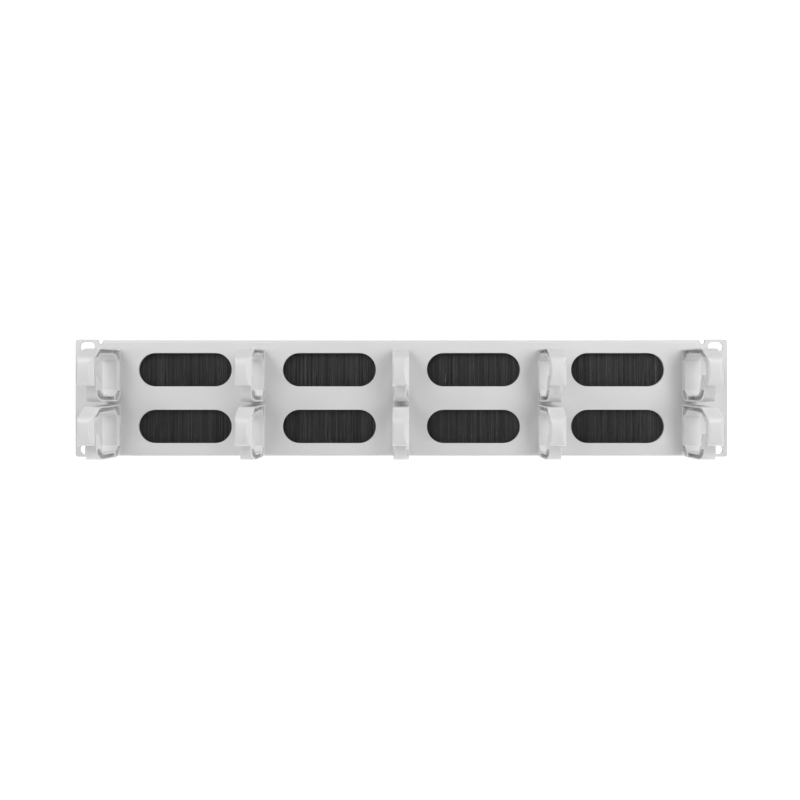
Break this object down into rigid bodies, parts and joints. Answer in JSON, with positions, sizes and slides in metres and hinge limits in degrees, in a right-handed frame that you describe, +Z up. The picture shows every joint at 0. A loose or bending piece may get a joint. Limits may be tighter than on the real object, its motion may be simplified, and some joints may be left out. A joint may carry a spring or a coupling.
{
  "type": "horizontal cable manager",
  "caption": "Two-unit rack panel with rows of moulded cable rings in front and brush-lined slots that let cables through to the back.",
  "frame": {"origin": "centre of the four rack slots, on the panel's rear face, the plane that meets the rack's rails", "axes": "+X to the right along the panel seen from the front, +Z up, +Y from the panel back into the rack, so the rings stand towards -Y"},
  "size_m": [0.4826, 0.061, 0.087],
  "materials": {
    "panel_paint": "light grey powder coat, fine satin texture",
    "ring_plastic": "light grey moulded plastic, smooth satin",
    "bristle_fibre": "black fibre bristles",
    "backing_steel": "galvanised steel",
    "strap_steel": "zinc-plated steel strip",
    "fastener_steel": "zinc-plated steel"
  },
  "bodies": {
    "root": {"panel": "panel_paint", "cable_ring_upper_1": "ring_plastic", "cable_ring_upper_2": "ring_plastic", "cable_ring_upper_3": "ring_plastic", "cable_ring_upper_4": "ring_plastic", "cable_ring_upper_5": "ring_plastic", "cable_ring_lower_1": "ring_plastic", "cable_ring_lower_2": "ring_plastic", "cable_ring_lower_3": "ring_plastic", "cable_ring_lower_4": "ring_plastic", "cable_ring_lower_5": "ring_plastic", "brush_backing_upper_1": "backing_steel", "brush_backing_upper_2": "backing_steel", "brush_backing_upper_3": "backing_steel", "brush_backing_upper_4": "backing_steel", "brush_backing_lower_1": "backing_steel", "brush_backing_lower_2": "backing_steel", "brush_backing_lower_3": "backing_steel", "brush_backing_lower_4": "backing_steel", "brush_wire_upper_1": "backing_steel", "brush_wire_upper_2": "backing_steel", "brush_wire_upper_3": "backing_steel", "brush_wire_upper_4": "backing_steel", "brush_wire_lower_1": "backing_steel", "brush_wire_lower_2": "backing_steel", "brush_wire_lower_3": "backing_steel", "brush_wire_lower_4": "backing_steel", "brush_bristles_upper_1": "bristle_fibre", "brush_bristles_upper_2": "bristle_fibre", "brush_bristles_upper_3": "bristle_fibre", "brush_bristles_upper_4": "bristle_fibre", "brush_bristles_lower_1": "bristle_fibre", "brush_bristles_lower_2": "bristle_fibre", "brush_bristles_lower_3": "bristle_fibre", "brush_bristles_lower_4": "bristle_fibre", "brush_strap_upper_1": "strap_steel", "brush_strap_upper_2": "strap_steel", "brush_strap_upper_3": "strap_steel", "brush_strap_upper_4": "strap_steel", "brush_strap_lower_1": "strap_steel", "brush_strap_lower_2": "strap_steel", "brush_strap_lower_3": "strap_steel", "brush_strap_lower_4": "strap_steel", "weld_studs": "fastener_steel", "flange_nuts": "fastener_steel"}
  },
  "joints": []
}
